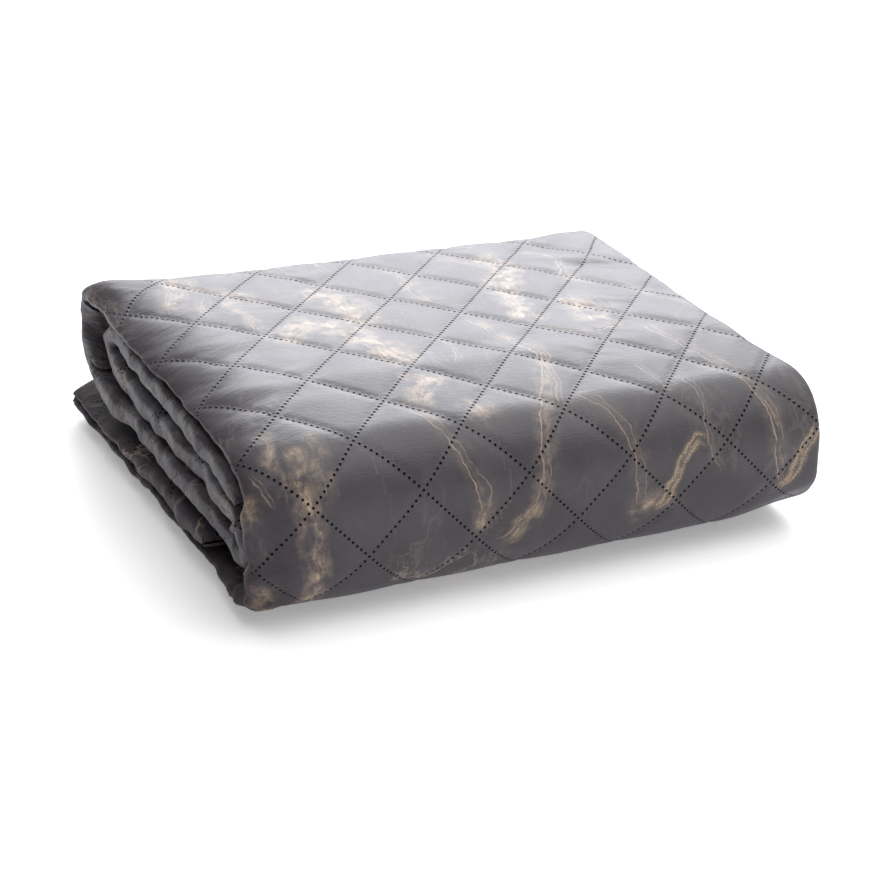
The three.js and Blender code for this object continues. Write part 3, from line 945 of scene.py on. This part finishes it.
def printed_satin():
    material = bpy.data.materials.new("printed satin")
    material.use_nodes = True
    tree = material.node_tree
    shader = tree.nodes["Principled BSDF"]
    cloth = Value(tree)
    map_u, map_t, _ = cloth.add("ShaderNodeUVMap", {"uv_map": "cloth"}, {}).parts()
    u, t = map_u / MM, map_t / MM
    to_line, to_dot = to_welds(u, t)
    rim = u.step(*RIM_SPAN)
    mottle, streak, shiver = (cloth.noise(name, u, t) for name in ("mottle", "streak", "shiver"))
    ink, gilt_share = marble_print(cloth, u, t, shiver)

    # colour: a mottled ground with fine brushed streaks, stained and marked on the rim, and the print
    ground = (mottle * MOTTLED + streak * STREAKED).step(*GROUND_SPAN).tint(SATIN, SATIN_LIGHT)
    stained = (cloth.noise("stain", u, t) * rim * STAINED).tint(ground, STAIN)
    marked = (cloth.noise("marks", u, t) * rim * MARKED).tint(stained, RUBBED_GOLD)
    colour = ink.tint(marked, gilt_share.tint(CREAM, GOLD))

    # relief
    gather = to_line.step(*GATHERED)
    stretch = cloth.noise("stretch", u + t * STRETCH_SLANT[0], t + u * STRETCH_SLANT[1])
    wrinkle = cloth.noise("wrinkle", u + t * WRINKLE_SLANT[0], t + u * WRINKLE_SLANT[1])
    height = streak * STREAK_HEIGHT + cloth.noise("crinkle", u, t) * gather.between(*CRINKLE_HEIGHT)
    height = height + shiver * gather * PUCKER_HEIGHT - to_dot.step(*DIMPLE_EDGE) * DIMPLE_DEPTH
    height = height + stretch * u.step(*BY_RIM_SPAN) * (1 - rim) * STRETCH_HEIGHT
    height = height + wrinkle * rim * WRINKLE_HEIGHT
    bump = cloth.add("ShaderNodeBump", {}, {"Strength": 1.0, "Distance": MM, "Height": height})

    # finish: glossy satin, a dull copy of it mixed in as painted shade at the left, low on the front and on
    # the rim, and melted dots
    roughness = mottle * MOTTLE_ROUGHNESS + streak * STREAK_ROUGHNESS - gilt_share * ink * GILT_SMOOTHNESS
    for name, value in (("Base Color", colour), ("Roughness", roughness + ROUGHNESS), ("Normal", bump)):
        tree.links.new(value.socket, shader.inputs[name])
    for name, value in GLOSS.items():
        shader.inputs[name].default_value = value
    dull = cloth.add("ShaderNodeBsdfPrincipled", {}, {**DULL, "Base Color": colour, "Normal": bump})
    melted = cloth.add("ShaderNodeBsdfPrincipled", {}, {**MELTED, "Normal": bump})
    # painted shade: the dull copy darkens the left end, the front low down and the rim
    left_shade = u.step(*PAINTED_SHADE_LEFT_SPAN) * t.step(*PAINTED_SHADE_BACK_SPAN).between(*PAINTED_SHADE_LEFT)
    front_shade = (1 - rim) * t.step(*PAINTED_SHADE_FRONT_SPAN) * PAINTED_SHADE_FRONT
    painted_shade = rim * PAINTED_SHADE_RIM + left_shade + front_shade
    dot = to_dot.step(*DOT_EDGE) * (1 - LOST_ON_RIM * rim)
    satin = cloth.add("ShaderNodeMixShader", {}, {0: painted_shade, 1: Value(tree, shader.outputs[0]), 2: dull})
    welded = cloth.add("ShaderNodeMixShader", {}, {0: dot, 1: satin, 2: melted})
    tree.links.new(welded.socket, tree.nodes["Material Output"].inputs["Surface"])
    return material


make_spread()


# Floor and light
FLOOR_SIDE = 30
FLOOR_FINISH = {
    "Base Color": (0.94, 0.94, 0.94, 1), "Roughness": 0.9, "Specular IOR Level": 0.1,
    "Emission Color": (1, 1, 1, 1), "Emission Strength": 0.27,
}
LAMP_PLACE = (0.55, 1.15, 0.72)
LAMP_TARGET = (0, 0, 0.1)
LAMP_SIZE = (1.3, 0.8)
LAMP_POWER = 20
LAMP_COLOUR = (0.93, 0.955, 1)

# The studio's sky: an even light, and brighter parts of it. Each begins and is full at those shares of the
# direction that side, depth and height give.
EVEN_LIGHT = 0.1
SKY_COLUMNS = ("brightness", "side", "depth", "height", "begins", "full")
SKY = [dict(zip(SKY_COLUMNS, row)) for row in (
    (0.9, 0.8, 0.6, 0, -0.25, 0.95),
    (2.5, 0.18, 0, 0.98, 0.68, 1),
    (0.5, 0.5, -0.85, 0, 0, 1),
)]


def make_floor():
    bpy.ops.mesh.primitive_plane_add(size=FLOOR_SIDE, location=(0, 0, 0))
    floor = bpy.context.object
    floor.name = "floor"
    material = bpy.data.materials.new("floor")
    material.use_nodes = True
    for name, value in FLOOR_FINISH.items():
        material.node_tree.nodes["Principled BSDF"].inputs[name].default_value = value
    floor.data.materials.append(material)


def make_sky():
    world = bpy.data.worlds.new("studio")
    bpy.context.scene.world = world
    world.use_nodes = True
    background = world.node_tree.nodes["Background"]
    side, depth, height = Value(world.node_tree).add("ShaderNodeTexCoord", {}, {}, "Generated").parts()
    light = EVEN_LIGHT
    for part in SKY:
        toward = side * part["side"] + depth * part["depth"] + height * part["height"]
        light = light + toward.step(part["begins"], part["full"]) * part["brightness"]
    background.inputs["Color"].default_value = (1, 1, 1, 1)
    world.node_tree.links.new(light.socket, background.inputs["Strength"])


def make_lamp():
    data = bpy.data.lights.new("back light", "AREA")
    data.shape = "RECTANGLE"
    data.size, data.size_y = LAMP_SIZE
    data.energy = LAMP_POWER
    data.color = LAMP_COLOUR
    lamp = bpy.data.objects.new("back light", data)
    bpy.context.scene.collection.objects.link(lamp)
    lamp.location = LAMP_PLACE
    aim = Vector(LAMP_TARGET) - Vector(LAMP_PLACE)
    lamp.rotation_euler = aim.to_track_quat("-Z", "Y").to_euler()


make_floor()
make_sky()
make_lamp()
bpy.context.scene.view_settings.view_transform = "Standard"
